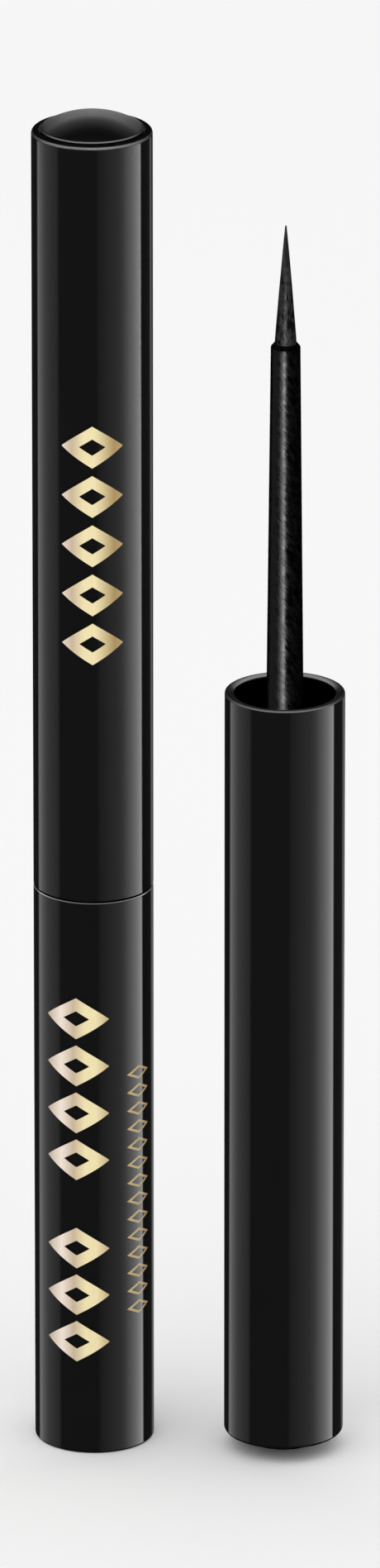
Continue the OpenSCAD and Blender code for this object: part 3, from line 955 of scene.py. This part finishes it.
class LINER_OT_stage(bpy.types.Operator):
    """Build the floor, the soft studio light and the camera"""
    bl_idname = "liner.stage"
    bl_label = "Build stage"

    # The photograph's frame in pixels, and the tube's width and axis in it
    frame_px = (460, 1897)
    tube_px = 145.5
    axis_px = 112.9
    # The camera: the width of its sensor in millimetres, the height that it looks at, its distance,
    # its angle above the level and the way to it
    sensor = 36.0
    target_z = 63.9 * MM
    distance = 1.5
    rise = math.radians(20)
    to_camera = Vector((0, -math.cos(rise), math.sin(rise)))
    # The middle that the lights stand round, the radii of the floor and of the outermost
    # reflector, and the step from one reflector to the next
    middle = (OPEN_X / 2, 0, 64 * MM)
    floor_r = 1.6
    reflector_r = 2.0
    reflector_step = 0.1

    # Brightness of a reflector where an upright wall shows it, by the wall's turn from the front
    bands = (
        (-90, 0.02), (-66, 0.02), (-63, 1.15), (-50, 0.6), (-36, 0.37), (-33, 0.07), (4, 0.07),
        (6, 0.18), (25, 0.5), (30, 0.75), (44, 2.4), (53.0, 3.55), (54.5, 0.03), (71, 0.03),
        (77, 0.42), (82, 0.02), (90, 0.02),
    )
    # Share of it that a face shows as it tilts: 0 is upright, 1 is level
    upright = ((0.0, 1.0), (0.2, 1.0), (0.3, 0.0), (1.0, 0.0))
    # Brightness at a small round edge by its tilt: on the bottle and domes, and on the caps' tubes
    edges = ((0.0, 0.0), (0.32, 0.0), (0.4, 8.0), (0.74, 8.0), (0.81, 0.0), (1.0, 0.0))
    rims = ((0.0, 0.0), (0.28, 0.0), (0.38, 5.4), (0.74, 5.4), (0.84, 0.0), (1.0, 0.0))
    # Share of that by the edge's turn: on the caps and domes, and on the bottle
    rim_fade = (
        (-90, 0.02), (-75, 0.03), (-62, 0.15), (-45, 0.6), (-15, 1.0), (15, 1.0), (45, 0.6),
        (62, 0.15), (75, 0.03), (90, 0.02),
    )
    seam_fade = (
        (-90, 0.05), (-70, 0.15), (-60, 0.9), (-30, 0.5), (0, 0.4), (30, 0.5), (55, 0.95),
        (65, 0.18), (90, 0.05),
    )
    # How level the lip's faces are, and their brightness by how far they lean to the camera
    lip_level = ((0.94, 0.0), (0.955, 1.0))
    lips = (
        (0.0, 0.04), (0.04, 0.15), (0.08, 0.8), (0.15, 2.2), (0.3, 3.0), (0.42, 3.0), (0.5, 0.0),
    )
    # How level a dome's faces are, their brightness from front to back, and the lean in front
    dome_level = ((0.78, 0.0), (0.83, 1.0))
    dome = (
        (0.05, 0.1), (0.14, 0.02), (0.2, 0.0), (0.27, 0.05), (0.43, 0.4), (0.54, 0.86),
        (0.75, 0.43), (0.94, 0.15),
    )
    dome_front = 0.6
    # How far the pale back bends round the dark front, how it fades to the sides, and the share of
    # the edges' brightness that a dome's edge has
    dome_bend = 0.6
    dome_sides = ((0.0, 1.0), (0.25, 0.9), (0.42, 0.5), (0.5, 0.15), (0.6, 0.1))
    dome_line = 0.6

    def execute(self, context):
        scene = context.scene
        self.camera(scene)
        self.world(scene)
        self.floor(scene)
        # From the outside inwards, each with its light and the pieces that show it
        reflectors = (
            ("studio_reflector", self.cap_light,
             ("bottle_foot", "cap_body", "cap_foil", "bottle_foil", "bottle_fine_foil")),
            ("dome_reflector", self.dome_light, ("end_plug", "open_end_plug_dome")),
            ("bottle_reflector", self.bottle_light, ("bottle_body",)),
            ("mouth_reflector", self.mouth_light, ("open_cap_body",)),
        )
        for (i, (name, light, receivers)) in enumerate(reflectors):
            radius = self.reflector_r - self.reflector_step * i
            self.reflector(name, radius, light, receivers, i > 0)
        self.lamps(scene)
        scene.view_settings.view_transform = "Standard"
        return {"FINISHED"}

    def camera(self, scene):
        """The photograph's view, with the closed tube as wide and as far left as it is there."""
        px_size = 2 * TUBE_R / self.tube_px
        (wide, tall) = self.frame_px
        data = bpy.data.cameras.new("camera")
        data.sensor_width = self.sensor
        data.lens = self.sensor * (self.distance / px_size) / tall
        camera = bpy.data.objects.new("camera", data)
        target = Vector(((wide / 2 - self.axis_px) * px_size, 0, self.target_z))
        camera.location = target + self.distance * self.to_camera
        camera.rotation_euler = (math.pi / 2 - self.rise, 0, 0)
        scene.collection.objects.link(camera)
        scene.camera = camera

    def world(self, scene):
        """Even daylight all round."""
        scene.world = scene.world or bpy.data.worlds.new("studio")
        shade = Shade(scene.world)
        daylight = rgba(scene.liner_colours.studio)
        sky = shade.add("ShaderNodeBackground", {}, {"Color": daylight})
        shade.add("ShaderNodeOutputWorld", {}, {"Surface": sky})

    def floor(self, scene):
        """A pale round floor with the faintest unevenness."""
        deselect()
        bpy.ops.mesh.primitive_circle_add(vertices=96, radius=self.floor_r, fill_type="NGON")
        floor = name_new("studio_floor")
        made = bpy.data.materials.new("floor_matte")
        shade = Shade(made)
        shade.surface(
            Base_Color=shade.tones(shade.noise(14), scene.liner_colours.studio, 0.995, 1.005),
            Roughness=0.9,
            Specular_IOR_Level=0.0,
        )
        floor.data.materials.append(made)
        floor.visible_glossy = False

    def reflector(self, name, radius, light, receivers, clear):
        """A sphere round the object that only the gloss of its receivers shows.

        Its light depends on the way that a mirror faces to show it to the photograph's camera. A
        clear one lets the pieces that it doesn't light see the next one through it.
        """
        deselect()
        bpy.ops.mesh.primitive_uv_sphere_add(
            segments=64, ring_count=32, radius=radius, location=self.middle)
        bpy.ops.object.transform_apply(location=True, rotation=False, scale=False)
        reflector = name_new(name)
        made = bpy.data.materials.new(name + "_light")
        shade = Shade(made)
        made.cycles.emission_sampling = "NONE"
        way = shade.vector("NORMALIZE", shade.vector("SUBTRACT", shade.place(), self.middle))
        facing = shade.vector("NORMALIZE", shade.vector("ADD", way, self.to_camera))
        glow = shade.add("ShaderNodeEmission", {}, {"Color": light(shade, facing)})
        if clear:
            pane = shade.add("ShaderNodeBsdfTransparent")
            glow = shade.add("ShaderNodeAddShader", {}, {0: glow, 1: pane})
        shade.end(glow)
        reflector.data.materials.append(made)
        for ray in ("camera", "diffuse", "transmission", "volume_scatter", "shadow"):
            setattr(reflector, "visible_" + ray, False)
        reflector.light_linking.receiver_collection = self.receivers(name, receivers)

    def receivers(self, name, pieces):
        """A collection of the pieces that a light reaches."""
        group = bpy.data.collections.new(name + "_receivers")
        for piece in pieces:
            group.objects.link(bpy.data.objects[piece])
        return group

    def by_turn(self, shade, facing, rows):
        """A number from rows that give a turn from the front in degrees and a value."""
        (side, depth, _) = shade.parts(facing)
        turn = shade.math("ARCTAN2", side, 0 - depth) / math.pi
        return shade.run(0.5 + turn, [(0.5 + degrees / 180, value) for (degrees, value) in rows])

    def edge_light(self, shade, facing, fade, edges):
        """Light lines on small round edges."""
        (_, _, tilt) = shade.parts(facing)
        return self.by_turn(shade, facing, fade) * shade.run(tilt, edges)

    def upright_light(self, shade, facing, fade, edges):
        """Strips on upright walls and lines on their edges."""
        (_, _, tilt) = shade.parts(facing)
        level = shade.run(shade.math("ABSOLUTE", tilt), self.upright)
        strips = self.by_turn(shade, facing, self.bands) * level
        return strips + self.edge_light(shade, facing, fade, edges)

    def bottle_light(self, shade, facing):
        """The bottle's walls, with an edge that is brightest at its sides."""
        return self.upright_light(shade, facing, self.seam_fade, self.edges)

    def cap_light(self, shade, facing):
        """A cap's wall, with edges that are brightest in front."""
        return self.upright_light(shade, facing, self.rim_fade, self.rims)

    def mouth_light(self, shade, facing):
        """The standing cap's wall, and a glow on its lip where that leans to the camera."""
        (_, depth, tilt) = shade.parts(facing)
        lip = shade.run(tilt, self.lip_level) * shade.run(0 - depth, self.lips)
        return self.cap_light(shade, facing) + lip

    def dome_light(self, shade, facing):
        """A pale glow on a dome's back, over a dark front with a light edge."""
        (side, depth, tilt) = shade.parts(facing)
        sides = shade.run(shade.math("ABSOLUTE", side), self.dome_sides)
        back = depth + self.dome_front + self.dome_bend * (side * side)
        glow = shade.run(tilt, self.dome_level) * sides * shade.run(back, self.dome)
        return self.dome_line * self.edge_light(shade, facing, self.rim_fade, self.edges) + glow

    def lamps(self, scene):
        """A soft key from the upper left, and panels that light the stems or the tufts alone."""
        stems = self.receivers("stem", ("stem_rod", "open_stem_rod"))
        tufts = self.receivers("tuft", ("tuft", "open_tuft"))
        # Each lamp: its turn from the front and its rise in degrees, its distance and size in
        # metres, its power in watts, and the pieces that it lights if not all
        rows = (
            ("key", -40, 50, 1.2, (0.9, 0.9), 1.6, None),
            ("stem_strip", -9.5, -20, 0.7, (0.14, 0.5), 2.1, stems),
            ("stem_glow", -24, -20, 0.75, (0.3, 0.5), 0.9, stems),
            ("stem_fill", -80, -20, 0.8, (1.0, 0.5), 0.25, stems),
            ("tuft_light", -6, -20, 0.7, (0.3, 0.5), 4.3, tufts),
        )
        for (name, turn, rise, away, size, power, receivers) in rows:
            data = bpy.data.lights.new(name, "AREA")
            data.shape = "RECTANGLE"
            (data.size, data.size_y) = size
            data.energy = power
            lamp = bpy.data.objects.new(name, data)
            (turn, rise) = (math.radians(turn), math.radians(rise))
            (across, back) = (math.sin(turn) * math.cos(rise), -math.cos(turn) * math.cos(rise))
            way = Vector((across, back, math.sin(rise)))
            lamp.location = Vector(self.middle) + away * way
            lamp.rotation_euler = way.to_track_quat("Z", "Y").to_euler()
            lamp.visible_glossy = receivers is not None
            if receivers:
                data.use_shadow = False
                lamp.light_linking.receiver_collection = receivers
            scene.collection.objects.link(lamp)


OPERATORS = (
    LINER_OT_bottle, LINER_OT_neck, LINER_OT_caps, LINER_OT_inserts, LINER_OT_applicators,
    LINER_OT_foil, LINER_OT_stage,
)


class LINER_PT_panel(bpy.types.Panel):
    """Sizes, colours and the steps that build the eyeliner"""
    bl_idname = "LINER_PT_panel"
    bl_label = "Eyeliner"
    bl_space_type = "VIEW_3D"
    bl_region_type = "UI"
    bl_category = "Eyeliner"

    def draw(self, context):
        for group in (context.scene.liner_sizes, context.scene.liner_colours):
            box = self.layout.box()
            for key in group.__annotations__:
                box.prop(group, key)
        for operator in OPERATORS:
            self.layout.operator(operator.bl_idname)


CLASSES = (LinerSizes, LinerColours, *OPERATORS, LINER_PT_panel)


def register():
    for item in CLASSES:
        bpy.utils.register_class(item)
    bpy.types.Scene.liner_sizes = PointerProperty(type=LinerSizes)
    bpy.types.Scene.liner_colours = PointerProperty(type=LinerColours)


def unregister():
    del bpy.types.Scene.liner_colours
    del bpy.types.Scene.liner_sizes
    for item in reversed(CLASSES):
        bpy.utils.unregister_class(item)


def main():
    register()
    bpy.ops.liner.bottle()
    bpy.ops.liner.neck()
    bpy.ops.liner.caps()
    bpy.ops.liner.inserts()
    bpy.ops.liner.applicators()
    bpy.ops.liner.foil()
    bpy.ops.liner.stage()


if __name__ == "__main__":
    main()
